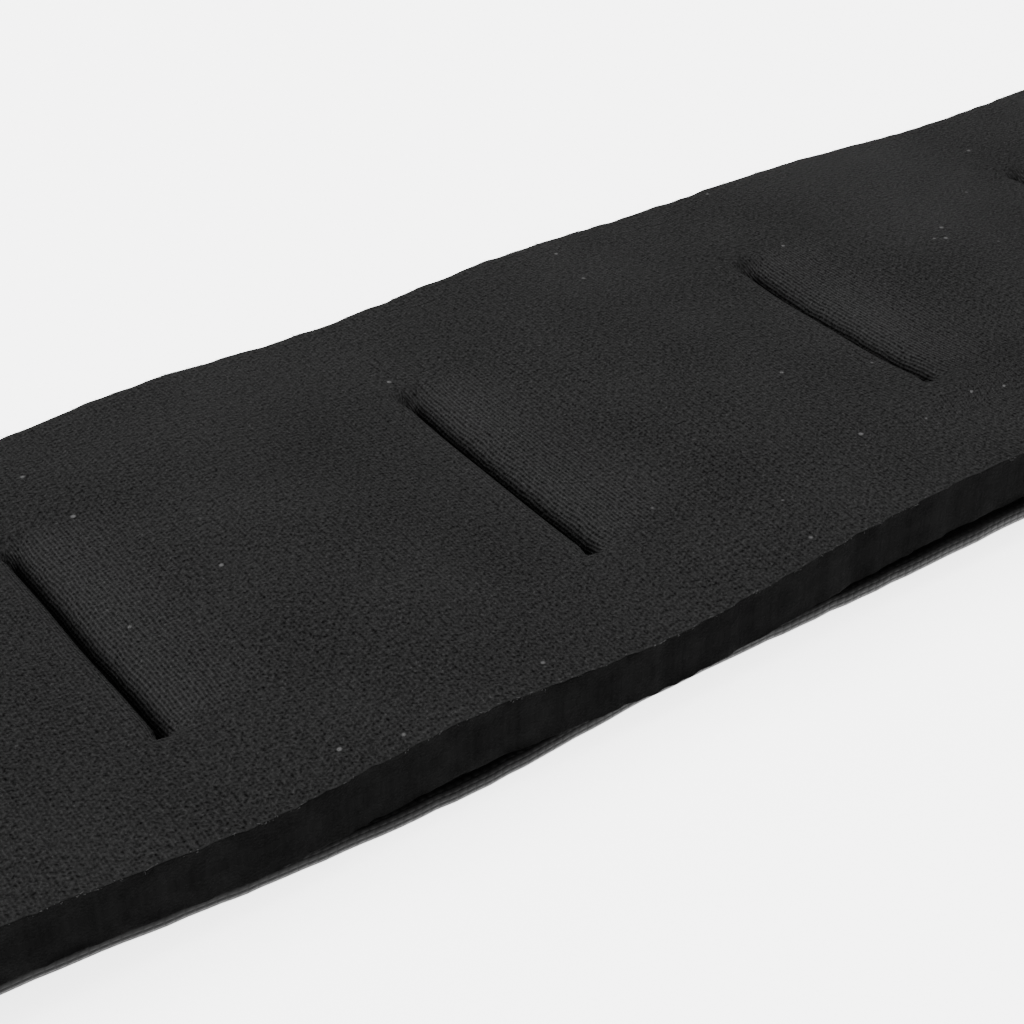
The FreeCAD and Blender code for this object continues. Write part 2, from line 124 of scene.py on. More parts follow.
# Rows of values along the belt, one at each tack and one half way to the next. A row starts at its FIRST
# place: 0 is the middle tack, 1 is half way to the tack on its right, 2 is that tack. They say how high the
# liner's edges lie above its level, how high the webbing's near edge lies above the floor, how far the
# webbing lies towards the far edge, and how much more than usual the liner's middle rises. The values of
# all other places are drawn.
SEED = 7
NEAR_EDGE_FIRST = -1
NEAR_EDGE = (0.9, -0.5, 0.1, -0.85, 0.95, 1.6)
FAR_EDGE_FIRST = 1
FAR_EDGE = (0.15, -0.3, 0.65, 0.35, 0.2, -0.85, -0.8)
NEAR_WEBBING_FIRST = -1
NEAR_WEBBING = (1.5, 0.4, 0.1, 1.0, 2.0, 2.4)
WEBBING_ASIDE_FIRST = 0
WEBBING_ASIDE = (-0.8, -1.1, -1.0, -1.9, -2.3)
MIDDLE_LIFT_FIRST = 0
MIDDLE_LIFT = (0.0, 0.0, 0.0, 0.4, 0.8, 0.6)
EDGE_MEAN = (-0.45, 0.65)      # at a tack, and half way between two
MIDDLE_RISE = 1.2
# How closely the rise and fall keep to the edges: 1 is spread evenly from the middle
LINER_DROOP_POWER = 1.6
WEBBING_DROOP_POWER = 3.0
WEBBING_SAG = 0.2
SAG_OVER = 12.0
# The webbing's edges are level near the liner's ends, and its wander aside ends before them
LEVEL_FROM_END = 27.0
LEVEL_OVER = 16.0
ASIDE_UP_TO = 360.0
ASIDE_OVER = 30.0
TAIL_RAMP = (486.0, 522.0)     # here the tail comes down to the floor
TAIL_CLEARANCE = 0.02          # between the tail and the floor

# Cloth, strap and thread
WALE_PITCH = 0.66              # the jersey's columns of stitches, and its rows
COURSE_PITCH = 0.42
EDGE_WAVINESS = 0.09
TACK_LENGTH = 26.4
TACK_THREAD_R = 0.2
STITCH_R = 0.30
STITCH_PITCH = 2.85
STITCH_LIFT = 0.12
BOX_ENDS = (-437.0, -415.0)
BOX_HALF = 20.0
STRAP_START = -373.0           # the strap's lengths end here and at the borders of its tail
TAIL_BORDERS = (373.0, 440.0, 527.0)
TAIL_END = 690.0
TAIL_CORNER_R = 10.0
TACKED_END = 420.0             # past here the tail's rings are evenly spaced
TAIL_STEP = 1.5
WEBBING_WAVINESS = 0.06
FIBRES_FROM_END = 9.0
FIBRES_PER_MM = 2.2
FIBRE_R = (0.028, 0.012)       # at its root and at its tip
SLANT = (0.13, 0.21, 1.0)      # no thread runs in this direction

# The tail's elastic keeper
KEEPER_WALL = 1.15
KEEPER_CORNER_R = 1.7
KEEPER_RIB_HEIGHT = 0.05
KEEPER_RIB_PITCH = 2.5
KEEPER_FLAT_STEPS = 40

FLOOR_REACH = 30000.0

# How the strips' rings are laid out
CLOSEST = 0.02                 # no two rings of a strip are closer than this
SAME = 0.01                    # a ring this near to a cut lies on it
SIDE_START = 0.1               # a side's first point is this share of the way from its middle to the face
CORNER_STEPS = 12


# -------------------- helpers

def at(s, y, z):
    """A point in the frame, in metres, from a place on the belt in millimetres."""
    return Vector(((MIDDLE_X + s) * MM, y * MM, z * MM))


def smooth(t):
    t = np.clip(t, 0.0, 1.0)
    return t * t * (3 - 2 * t)


def waves(rng, count, longest, shortest):
    """A smooth, uneven function of one length: a sum of sine waves with drawn lengths and phases."""
    lengths = np.exp(rng.uniform(math.log(shortest), math.log(longest), count))
    phases = rng.uniform(0, 2 * math.pi, count)

    def value(x):
        total = sum(np.sin(2 * math.pi * x / n + p) for n, p in zip(lengths, phases))
        return total / math.sqrt(count)

    return value


def new_object(name, points, faces, materials, face_materials=None, normals=None, surface=None):
    """A mesh object from points in millimetres along the belt; surface is each point's place on its cloth."""
    points = np.asarray(points, float)
    places = np.column_stack([points[:, 0] + MIDDLE_X, points[:, 1], points[:, 2]]) * MM
    mesh = bpy.data.meshes.new(name)
    mesh.from_pydata(places.tolist(), [], faces)
    for material in materials:
        mesh.materials.append(material)
    if face_materials is not None:
        mesh.polygons.foreach_set("material_index", np.asarray(face_materials, np.int32))
    if surface is not None:
        attribute = mesh.attributes.new("surface_mm", "FLOAT_VECTOR", "POINT")
        attribute.data.foreach_set("vector", np.asarray(surface, np.float32).ravel())
    mesh.shade_smooth()
    mesh.update()
    if normals is not None:
        mesh.normals_split_custom_set(normals.tolist())
    obj = bpy.data.objects.new(name, mesh)
    bpy.context.scene.collection.objects.link(obj)
    return obj


def quads(columns, around, closed=False):
    """Quads between neighbouring rings of points; closed also joins the last ring to the first."""
    faces = []
    for i in range(columns if closed else columns - 1):
        n = (i + 1) % columns
        for j in range(around):
            k = (j + 1) % around
            faces.append((i * around + j, n * around + j, n * around + k, i * around + k))
    return faces


def tube_faces(columns, around):
    """Quads of a tube of rings, and then its two end caps."""
    last = (columns - 1) * around
    caps = [tuple(range(around)), tuple(range(last, last + around))[::-1]]
    return quads(columns, around) + caps


def grid_normals(rings):
    """Unit normals of a tube of rings, from its neighbours along and around."""
    along = np.gradient(rings, axis=0)
    around = np.roll(rings, -1, axis=1) - np.roll(rings, 1, axis=1)
    normal = np.cross(along, around)
    length = np.linalg.norm(normal, axis=2, keepdims=True)
    return normal / np.maximum(length, 1e-12)


class Strip:
    """One continuous strip of the belt as rings of points, cut into lengths when its objects are made."""

    def __init__(self, columns, rings, surface, ring_materials, materials):
        self.columns = columns
        self.rings = rings
        self.surface = surface
        self.ring_materials = ring_materials
        self.materials = materials
        self.normals = grid_normals(rings)

    def length(self, name, s0, s1):
        """The object of the strip from s0 to s1."""
        chosen = np.flatnonzero((self.columns >= s0 - SAME) & (self.columns <= s1 + SAME))
        around = self.rings.shape[1]
        faces = tube_faces(len(chosen), around)
        kinds = list(self.ring_materials) * (len(chosen) - 1) + [self.ring_materials[0]] * 2
        corners = np.concatenate([np.array(face) for face in faces])
        normals = self.normals[chosen].reshape(-1, 3)[corners]
        normals[-2 * around:-around] = (-1, 0, 0)
        normals[-around:] = (1, 0, 0)
        points, surface = self.rings[chosen].reshape(-1, 3), self.surface[chosen].reshape(-1, 3)
        return new_object(name, points, faces, self.materials, kinds, normals, surface)


# -------------------- the belt's bodies and cuts

def segment(k):
    """The name of the k-th length between bend lines: 0 is the middle one and the left ones are negative."""
    if k == 0:
        return "mid"
    side = "right" if k > 0 else "left"
    return "%s_%d" % (side, abs(k))


def bend_sections(start, end):
    """Each length of a strip from start to end that bends: the number of its bend line, and its two ends."""
    numbers = range(1 - BENDS_EACH_SIDE, BENDS_EACH_SIDE + 1)
    borders = [start, *(2 * PITCH * k for k in numbers[:-1]), end]
    return list(zip(numbers, borders[:-1], borders[1:]))


def bend_with(obj):
    """Bakes an object's transform into its mesh."""
    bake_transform(obj)


def bend_belt(obj):
    """Bakes an object's transform into its mesh, through bend_with."""
    bend_with(obj)


# -------------------- shapes

rng = np.random.default_rng(SEED)
TACK_RANGE = TACKS_EACH_SIDE + 1


def drawn_row(first, known, mean, spread):
    """Values for a row of places, two to each pitch: drawn round the two means, except the known ones."""
    places = np.arange(-2 * TACK_RANGE, 2 * TACK_RANGE + 1)
    row = np.where(places % 2, mean[1], mean[0]) + rng.uniform(-spread, spread, len(places))
    start = first + 2 * TACK_RANGE
    row[start:start + len(known)] = known
    return row


def through(row, s):
    """The smooth curve through a row of values that has two places to each pitch."""
    place = np.clip(2 * (s / PITCH + TACK_RANGE), 1, len(row) - 2.001)
    n = np.floor(place).astype(int)
    t = place - n
    before, here, after, beyond = row[n - 1], row[n], row[n + 1], row[np.minimum(n + 2, len(row) - 1)]
    slope_here, slope_after = (after - before) / 2, (beyond - here) / 2
    return (
        here * (1 + 2 * t) * (1 - t) ** 2
        + after * t ** 2 * (3 - 2 * t)
        + slope_here * t * (1 - t) ** 2
        + slope_after * t ** 2 * (t - 1)
    )


near_edge = drawn_row(NEAR_EDGE_FIRST, NEAR_EDGE, EDGE_MEAN, 0.35)
far_edge = drawn_row(FAR_EDGE_FIRST, FAR_EDGE, EDGE_MEAN, 0.35)
near_webbing = drawn_row(NEAR_WEBBING_FIRST, NEAR_WEBBING, (1.2, 1.2), 0.4)
far_webbing = drawn_row(0, (), (1.3, 1.3), 0.4)
webbing_aside = drawn_row(WEBBING_ASIDE_FIRST, WEBBING_ASIDE, (-0.4, -0.4), 0.3)
middle_lift = drawn_row(MIDDLE_LIFT_FIRST, MIDDLE_LIFT, (0.1, 0.1), 0.2)
dent_habits = rng.uniform((-0.3, -0.4, -0.3), (0.3, 0.7, 1.4), (2 * TACK_RANGE + 1, 3))
for number, habit in DENT_HABITS.items():
    dent_habits[number + TACK_RANGE] = habit
edge_wave_near = waves(rng, 9, 26.0, 1.6)
edge_wave_far = waves(rng, 9, 26.0, 1.6)
side_wave = waves(rng, 7, 30.0, 5.0)
top_wave_s = waves(rng, 6, 60.0, 14.0)
top_wave_y = waves(rng, 5, 50.0, 12.0)


def hump(s):
    """0 at a tack and 1 half way to the next."""
    return np.sin(math.pi * s / PITCH) ** 2


def edge_shares(y, half, power):
    """How much of the near edge's and of the far edge's height a point has."""
    return np.clip(-y / half, 0, 1) ** power, np.clip(y / half, 0, 1) ** power


def liner_lie(s, y):
    """The height of the liner's face without its dents."""
    near, far = edge_shares(y, LINER_WIDTH / 2, LINER_DROOP_POWER)
    middle = MIDDLE_RISE * hump(s) + through(middle_lift, s)
    offset = near * through(near_edge, s) + far * through(far_edge, s) + (1 - near - far) * middle
    return LINER_LEVEL + offset


def dent_side(distance, reach, r, painted_shade_from):
    """The way into a dent on one side: distance from its middle, depth, length of cloth used, and the share of
    ribs and painted shade.
    """
    approach = reach - r - DENT_HALF_GAP
    arc = math.pi * r / 2
    wall = DENT_DEPTH - r
    run = np.clip(1 - distance / reach, 0, 1) * (approach + arc + wall)
    turn = np.clip((run - approach) / r, 0, math.pi / 2)
    down_wall = np.clip(run - approach - arc, 0, wall)
    across = reach - np.minimum(run, approach) - r * np.sin(turn) - DENT_HALF_GAP * down_wall / wall
    depth = r * (1 - np.cos(turn)) + down_wall
    # The second share is painted shade: past its start depth, it darkens the jersey's colour in the crease.
    rib_and_shade_share = smooth((run - 0.8 * approach) / RIBS_OVER) + smooth((depth - painted_shade_from) / PAINTED_SHADE_OVER)
    return across, depth, reach - run, rib_and_shade_share


def dent(s, y):
    """A dent's moves at a point: along the belt, down and along the cloth, and its share of ribs and painted
    shade.

    The share runs from 0 on the flat to 1 on the shoulder, where the ribs show, and to 2 deep in the crease,
    where the jersey's colour is darkened as painted shade.
    """
    tack = nearest_tack(s)
    u = s - tack * PITCH
    left = dent_side(np.abs(u), *DENT_LEFT)
    right = dent_side(np.abs(u), *DENT_RIGHT)
    across, depth, cloth, rib_and_shade_share = [np.where(u < 0, a, b) for a, b in zip(left, right)]
    inside = np.where(u < 0, -u < DENT_LEFT[0], u < DENT_RIGHT[0])
    trim = np.where(y < DENT_SHIFT_Y, dent_habits[tack + TACK_RANGE, 2], 0.0)
    along = smooth((DENT_LENGTH / 2 + DENT_PAST_END - trim - np.abs(y - DENT_SHIFT_Y)) / DENT_END_TAPER)
    taper = along * inside
    fading = smooth(1 - np.abs(u) / np.where(u < 0, *RIBS_FADE_OVER)) * along
    rib_and_shade_share = np.maximum(rib_and_shade_share * taper, fading)
    sign = np.sign(u)
    return (sign * across - u) * taper, depth * taper, (sign * cloth - u) * taper, rib_and_shade_share


def nearest_tack(s):
    return np.clip(np.round(s / PITCH).astype(int), -TACKS_EACH_SIDE, TACKS_EACH_SIDE)


def dent_bow(s, y):
    """How far a dent leans from a straight line across the belt."""
    tack = nearest_tack(s)
    shift, bow, _ = [dent_habits[tack + TACK_RANGE, n] for n in range(3)]
    ends = np.clip(2 * (y - DENT_SHIFT_Y - 1.5) / DENT_LENGTH, -1.3, 1.3) ** 2
    fade = smooth((DENT_LENGTH / 2 + BOW_FADE - np.abs(y - DENT_SHIFT_Y)) / BOW_FADE)
    u = s - tack * PITCH
    lean = shift + bow * ends + 0.04 * np.sin(y * 0.45 + tack)
    return lean * fade * np.exp(-(u / BOW_REACH) ** 2)


def puckers(s, y):
    """Small folds that fan out past the two ends of a dent."""
    tack = nearest_tack(s)
    u = s - tack * PITCH
    past = np.abs(y - DENT_SHIFT_Y) - DENT_LENGTH / 2
    reach = np.hypot(u, past)
    fan = np.cos(7 * np.arctan2(u, past) + tack) * np.exp(-((reach - PUCKER_REACH) / PUCKER_REACH) ** 2)
    return PUCKER_HEIGHT * fan * smooth((past + 2.0) / 2.0) * np.clip(reach / 2.0, 0, 1)


def liner_top(s, y):
    """The liner's soft face: how far a point at (s, y) moves along the belt, and its height."""
    shift, depth, _, _ = dent(s, y)
    u = s - nearest_tack(s) * PITCH
    broad = smooth((DENT_LENGTH / 2 + DISH_PAST_END - np.abs(y - DENT_SHIFT_Y)) / DISH_FADE)
    dish = DISH_DEPTH * np.exp(-(u / DISH_REACH) ** 2) * broad
    ripple = RIPPLE * top_wave_s(s) + RIPPLE * top_wave_y(y + 0.3 * s)
    height = liner_lie(s, y) - depth - dish + puckers(s, y) + ripple
    return shift + dent_bow(s, y), height


def face_height(s, y):
    """The height of the liner's face at one place."""
    return float(liner_top(np.array([s]), np.array([float(y)]))[1][0])


def liner_bottom(s, y):
    """The liner's underside, which meets the webbing at the tacks."""
    return np.maximum(liner_lie(s, y) - LINER_THICKNESS, webbing_top(s, y) + 0.04)


def webbing_bottom(s, y):
    """The webbing's underside: flat along its middle, drooping towards its edges beneath the liner."""
    near, far = edge_shares(y, WEBBING_WIDTH / 2, WEBBING_DROOP_POWER)
    held = smooth((LINER_END - LEVEL_FROM_END - np.abs(s)) / LEVEL_OVER)
    under_liner = smooth((LINER_END - np.abs(s)) / SAG_OVER)
    droop = near * (WEBBING_BOTTOM - through(near_webbing, s))
    droop = droop + far * (WEBBING_BOTTOM - through(far_webbing, s))
    level = WEBBING_BOTTOM - WEBBING_SAG * hump(s) * under_liner - droop * held
    down = smooth((s - TAIL_RAMP[0]) / (TAIL_RAMP[1] - TAIL_RAMP[0]))
    return level * (1 - down) + TAIL_CLEARANCE * down


def webbing_top(s, y):
    return webbing_bottom(s, y) + WEBBING_THICKNESS


def half_width(s, width, corner, low_end, high_end):
    """Half of a strip's width at s, with round corners in plan at both of its ends."""
    distance = np.minimum(s - low_end, high_end - s)
    inset = np.clip(corner - distance, 0, corner)
    return width / 2 - (corner - np.sqrt(corner ** 2 - inset ** 2))


def strip_columns(start, end, fine_reach, fine_step, coarse_step, corner):
    """Places of the rings along a strip: close together at the tacks and at a rounded end."""
    marks = {round(start, 4), round(end, 4)}
    for k in range(-TACK_RANGE, TACK_RANGE + 1):
        tack = PITCH * k
        count = max(1, round(fine_reach / fine_step))
        for n in range(-count, count + 1):
            marks.add(round(tack + fine_reach * n / count, 4))
        between = PITCH - 2 * fine_reach
        count = max(1, round(between / coarse_step))
        for n in range(1, count):
            marks.add(round(tack + fine_reach + between * n / count, 4))
    if corner:
        for n in range(1, CORNER_STEPS):
            inset = corner * (1 - math.cos(math.pi / 2 * n / CORNER_STEPS))
            marks.add(round(start + inset, 4))
            marks.add(round(end - inset, 4))
    marks = np.array(sorted(m for m in marks if start <= m <= end))
    keep = np.concatenate([[True], np.diff(marks) > CLOSEST])
    return marks[keep]


def half_rings(s, near, far, face_at, sign, middles, across, sides, r):
    """The upper or lower half of each ring: along the near side, across the face and back down the far side.

    near and far are the places of the two sides, and middles their heights where the two halves meet;
    face_at(s, y) gives the face's shift and height; sign is 1 for the upper half and -1 for the lower.
    """
    share = np.linspace(0, 1, across)[None, :]
    y = (near + r)[:, None] * (1 - share) + (far - r)[:, None] * share
    shift, z = face_at(s[:, None] + 0 * y, y)
    level = np.zeros(len(s))
    diagonal = r * (1 - math.sin(math.pi / 4))

    def side(edge_y, inward, middle, face_z):
        foot = face_z - sign * r
        heights = [middle + (foot - middle) * share_up for share_up in np.linspace(SIDE_START, 1, sides)]
        rows = [np.column_stack([level, edge_y, height]) for height in heights]
        rows.append(np.column_stack([level, edge_y + inward * diagonal, face_z - sign * diagonal]))
        return rows

    points = side(near, 1.0, middles[0], z[:, 0])
    points += [np.column_stack([shift[:, j], y[:, j], z[:, j]]) for j in range(across)]
    points += side(far, -1.0, middles[1], z[:, -1])[::-1]
    return np.stack(points, axis=1)


def make_strip(columns, near, far, top_at, bottom_at, across, sides, r, materials, side_kind=0):
    """A Strip with a shaped upper face, lower face and sides.

    Its surface places are (s, way across from the near side), over the top and underneath alike.
    """
    s = columns
    middles = [(top_at(s, edge)[1] + bottom_at(s, edge)[1]) / 2 for edge in (near, far)]
    top = half_rings(s, near, far, top_at, 1.0, middles, across, sides, r)
    bottom = half_rings(s, near, far, bottom_at, -1.0, middles, across, sides, r)
    rings = np.concatenate([top, bottom[:, ::-1]], axis=1)
    rings[:, :, 0] += s[:, None]
    half = top.shape[1]
    over = up_and_over(top, sides)
    under = up_and_over(bottom, sides)
    under *= over[:, -1:] / under[:, -1:]
    round_ring = np.concatenate([over, under[:, ::-1]], axis=1)
    surface = np.stack([s[:, None] + 0 * round_ring, round_ring, 0 * round_ring], axis=2)
    kinds = [0 if sides < j % half < half - sides - 2 else side_kind for j in range(2 * half)]
    return Strip(s, rings, surface, kinds, materials)


def up_and_over(half_ring, sides):
    """The way along half of each ring: up its side, then level across its face, then down its side."""
    moves = np.abs(np.diff(half_ring[:, :, 1:], axis=1))
    face = slice(sides + 1, moves.shape[1] - sides - 1)
    moves[:, face, 1] = 0.0
    steps = np.hypot(moves[:, :, 0], moves[:, :, 1])
    return np.concatenate([np.zeros((len(half_ring), 1)), np.cumsum(steps, axis=1)], axis=1)


def no_shift(height):
    """A face that only has heights."""
    return lambda s, y: (np.zeros_like(s), height(s, y))


# -------------------- materials

class Graph:
    """Short calls for building a material's nodes."""

    def __init__(self, name, roughness, specular=0.5):
        self.material = bpy.data.materials.new(name)
        self.material.use_nodes = True
        self.nodes = self.material.node_tree.nodes
        self.links = self.material.node_tree.links
        self.shader = self.nodes["Principled BSDF"]
        self.shader.inputs["Roughness"].default_value = roughness
        self.shader.inputs["Specular IOR Level"].default_value = specular

    def put(self, socket, value):
        if hasattr(value, "is_linked"):
            self.links.new(value, socket)
        else:
            socket.default_value = value

    def math(self, operation, a, b=0.0, c=0.0):
        node = self.nodes.new("ShaderNodeMath")
        node.operation = operation
        for socket, value in zip(node.inputs, (a, b, c)):
            self.put(socket, value)
        return node.outputs[0]

    def add(self, a, b):
        return self.math("ADD", a, b)

    def times(self, a, b):
        return self.math("MULTIPLY", a, b)

    def surface(self):
        """The point's place on its cloth, in millimetres: along the belt, and round it."""
        node = self.nodes.new("ShaderNodeAttribute")
        node.attribute_name = "surface_mm"
        return node.outputs["Vector"]

    def millimetres(self):
        """The point's place in its object, in millimetres, for a rigid piece."""
        coordinates = self.nodes.new("ShaderNodeTexCoord")
        return self.stretch(coordinates.outputs["Object"], (1 / MM, 1 / MM, 1 / MM))

    def flat(self, vector):
        """The place on the cloth alone, without the share of ribs and painted shade."""
        return self.stretch(vector, (1.0, 1.0, 0.0))

    def stretch(self, vector, factors):
        node = self.nodes.new("ShaderNodeVectorMath")
        node.operation = "MULTIPLY"
        self.links.new(vector, node.inputs[0])
        node.inputs[1].default_value = factors
        return node.outputs[0]

    def split(self, vector):
        node = self.nodes.new("ShaderNodeSeparateXYZ")
        self.links.new(vector, node.inputs[0])
        return node.outputs[0], node.outputs[1], node.outputs[2]

    def noise(self, vector, scale, detail=2.0, roughness=0.5):
        node = self.nodes.new("ShaderNodeTexNoise")
        self.links.new(vector, node.inputs["Vector"])
        node.inputs["Scale"].default_value = scale
        node.inputs["Detail"].default_value = detail
        node.inputs["Roughness"].default_value = roughness
        return node.outputs["Fac"]

    def spots(self, vector, scale):
        node = self.nodes.new("ShaderNodeTexVoronoi")
        self.links.new(vector, node.inputs["Vector"])
        node.inputs["Scale"].default_value = scale
        return node.outputs["Distance"]

    def between(self, value, low, high, to_low=0.0, to_high=1.0):
        node = self.nodes.new("ShaderNodeMapRange")
        node.clamp = True
        self.put(node.inputs["Value"], value)
        for name, number in zip(("From Min", "From Max", "To Min", "To Max"), (low, high, to_low, to_high)):
            node.inputs[name].default_value = number
        return node.outputs[0]

    def colours(self, factor, dark, light):
        node = self.nodes.new("ShaderNodeMix")
        node.data_type = "RGBA"
        self.put(node.inputs["Factor"], factor)
        first, second = [i for i in node.inputs if i.type == "RGBA"]
        first.default_value = (*dark, 1)
        second.default_value = (*light, 1)
        return [o for o in node.outputs if o.type == "RGBA"][0]

    def bump(self, height, depth_mm, strength=1.0):
        node = self.nodes.new("ShaderNodeBump")
        node.inputs["Strength"].default_value = strength
        node.inputs["Distance"].default_value = depth_mm * MM
        self.links.new(height, node.inputs["Height"])
        return node.outputs["Normal"]

    def finish(self, colour=None, normal=None, roughness=None):
        if colour is not None:
            self.links.new(colour, self.shader.inputs["Base Color"])
        if normal is not None:
            self.links.new(normal, self.shader.inputs["Normal"])
        if roughness is not None:
            self.links.new(roughness, self.shader.inputs["Roughness"])
        return self.material


def grey(value, warmth=0.0):
    return (value * (1 + warmth), value, value * (1 - warmth))


def jersey_material():
    """Knitted nylon jersey: columns of stitches across the belt, clearest where a dent stretches them, with
    painted shade that darkens the colour deep in each dent's crease.
    """
    g = Graph("ribbed_jersey", 0.8, 0.02)
    place = g.surface()
    along, across, rib_and_shade_share = g.split(place)
    drift = g.noise(g.flat(place), 0.35, 2.0)
    along = g.add(along, g.times(g.math("SUBTRACT", drift, 0.5), 0.5))
    column = g.math("DIVIDE", along, WALE_PITCH)
    in_column = g.math("ABSOLUTE", g.math("SUBTRACT", g.math("FRACT", column), 0.5))
    ridge = g.math("COSINE", g.times(in_column, 4 * math.pi))
    ridge = g.math("MULTIPLY_ADD", ridge, 0.5, 0.5)
    row = g.add(g.math("DIVIDE", across, COURSE_PITCH), g.times(in_column, 1.3))
    row = g.add(row, g.times(drift, 3.0))
    stitch = g.math("SINE", g.times(row, 2 * math.pi))
    stitch = g.math("MULTIPLY_ADD", stitch, 0.5, 0.5)
    grain = g.noise(g.flat(place), 2.8, 2.0, 0.6)
    # Painted shade: the part of the share past 1, deep in a dent's crease, darkens the colour below.
    painted_crease_shade = g.between(rib_and_shade_share, 1.0, 2.0)
    ridge_share = g.math("MULTIPLY_ADD", g.between(rib_and_shade_share, 0.0, 1.0), 0.38, 0.2)
    height = g.times(ridge, ridge_share)
    height = g.add(height, g.times(stitch, 0.20))
    height = g.add(height, g.times(g.between(grain, 0.25, 0.75), 0.95))
    normal = g.bump(height, 0.16, 0.8)
    patch = g.noise(g.flat(place), 0.09, 3.0)
    speck = g.between(g.noise(g.flat(place), 2.9, 1.0), 0.66, 0.76)
    lint = g.between(g.spots(g.flat(place), 0.22), 0.055, 0.025)
    light = g.add(g.times(height, 0.75), g.times(patch, 0.25))
    light = g.add(light, g.times(speck, 0.45))
    light = g.add(light, g.times(lint, 2.5))
    # Painted shade in the crease: the colour falls to 0.3 of itself at the crease's bottom.
    light = g.times(light, g.between(painted_crease_shade, 0.0, 1.0, 1.0, 0.3))
    colour = g.colours(g.between(light, 0.25, 2.7), grey(0.0004), grey(0.054))
    g.shader.inputs["Sheen Weight"].default_value = 0.0025
    g.shader.inputs["Sheen Roughness"].default_value = 0.5
    return g.finish(colour, normal)


def foam_material():
    """The cut side of the neoprene foam: matt, fine pored, darker than the jersey."""
    g = Graph("cut_foam", 0.9, 0.012)
    place = g.surface()
    pores = g.spots(place, 5.0)
    drag = g.noise(g.stretch(place, (2.2, 0.5, 1.0)), 1.2, 4.0)
    height = g.add(g.times(pores, 0.5), drag)
    normal = g.bump(height, 0.16, 0.8)
    patch = g.noise(place, 0.35, 3.0)
    tone = g.add(g.times(drag, 0.5), patch)
    colour = g.colours(g.between(tone, 0.45, 1.05), grey(0.0008), grey(0.0036))
    return g.finish(colour, normal)


def cut_jersey_material():
    """The jersey's cut edge: a broken line of paler, fuzzy stitch ends."""
    g = Graph("cut_jersey", 0.8, 0.1)
    place = g.surface()
    frayed = g.noise(place, 1.3, 3.0, 0.6)
    fine = g.noise(place, 4.5, 2.0)
    normal = g.bump(fine, 0.2, 0.8)
    tone = g.add(frayed, g.times(fine, 0.4))
    colour = g.colours(g.between(tone, 0.5, 1.0), grey(0.002), grey(0.012))
    return g.finish(colour, normal)


def webbing_material(name, rib, thread, roughness, dark, light, depth=0.14):
    """Woven webbing: ribs across it, with the warp threads that pass over them."""
    g = Graph(name, roughness, 0.08)
    place = g.surface()
    along, across, _ = g.split(place)
    lane = g.math("DIVIDE", across, thread)
    over = g.times(g.math("FLOOR", lane), 0.5)
    phase = g.add(g.math("DIVIDE", along, rib), over)
    pick = g.math("ABSOLUTE", g.math("SINE", g.times(phase, math.pi)))
    strand = g.math("ABSOLUTE", g.math("SINE", g.times(lane, math.pi)))
    grain = g.noise(g.stretch(place, (1.0, 4.0, 1.0)), 1.6, 3.0)
    height = g.times(g.math("POWER", pick, 0.6), g.math("POWER", strand, 0.5))
    height = g.add(height, g.times(grain, 0.25))
    normal = g.bump(height, depth, 0.9)
    patch = g.noise(place, 0.12, 2.0)
    tone = g.add(g.times(height, 0.7), g.times(patch, 0.4))
    colour = g.colours(g.between(tone, 0.2, 1.2), grey(dark), grey(light))
    shine = g.between(grain, 0.3, 0.8, roughness - 0.07, roughness + 0.10)
    return g.finish(colour, normal, shine)


def thread_material():
    """Bonded nylon thread: a fine twist, slightly glossy."""
    g = Graph("bonded_thread", 0.45, 0.5)
    place = g.millimetres()
    twist = g.noise(g.stretch(place, (3.0, 9.0, 3.0)), 1.0, 2.0)
    colour = g.colours(g.between(twist, 0.3, 0.7), grey(0.006), grey(0.016))
    return g.finish(colour, g.bump(twist, 0.05, 0.7))


def fibre_material():
    """Loose jersey fibres at the cut edge, a little lighter than the cloth."""
    g = Graph("loose_fibre", 0.7, 0.4)
    place = g.surface()
    tone = g.noise(place, 0.8, 2.0)
    colour = g.colours(g.between(tone, 0.3, 0.7), grey(0.004), grey(0.014))
    return g.finish(colour)


def steel_material(name, base, roughness, brush, depth):
    """Stainless steel with a brushed grain and light handling marks."""
    g = Graph(name, roughness, 0.5)
    place = g.millimetres()
    grain = g.noise(g.stretch(place, brush), 1.0, 4.0, 0.6)
    marks = g.noise(place, 0.22, 4.0, 0.6)
    scratches = g.between(g.noise(g.stretch(place, (0.9, 0.06, 0.9)), 1.3, 2.0), 0.66, 0.72)
    height = g.add(grain, g.times(scratches, -0.6))
    normal = g.bump(height, depth, 0.5)
    tone = g.add(g.times(grain, 0.8), g.times(marks, 0.25))
    colour = g.colours(g.between(tone, 0.3, 0.8), grey(base * 0.82, 0.01), grey(base, 0.015))
    wear = g.add(g.times(marks, 0.5), g.times(grain, 0.6))
    shine = g.between(wear, 0.4, 0.9, roughness - 0.06, roughness + 0.14)
    g.shader.inputs["Metallic"].default_value = 1.0
    return g.finish(colour, normal, shine)


jersey = jersey_material()
foam = foam_material()
cut_jersey = cut_jersey_material()
nylon = webbing_material("woven_nylon", 0.8, 0.45, 0.45, 0.0016, 0.0065, 0.05)
loop_nylon = webbing_material("woven_loop_nylon", 0.75, 0.42, 0.45, 0.0016, 0.0065, 0.05)
elastic = webbing_material("ribbed_elastic", 1.3, 0.9, 0.6, 0.003, 0.010, 0.12)
thread = thread_material()
fibre = fibre_material()
plate_steel = steel_material("brushed_stainless", 0.27, 0.27, (0.35, 6.0, 6.0), 0.012)
pin_steel = steel_material("turned_stainless", 0.33, 0.18, (5.0, 1.2, 5.0), 0.006)


# -------------------- liner

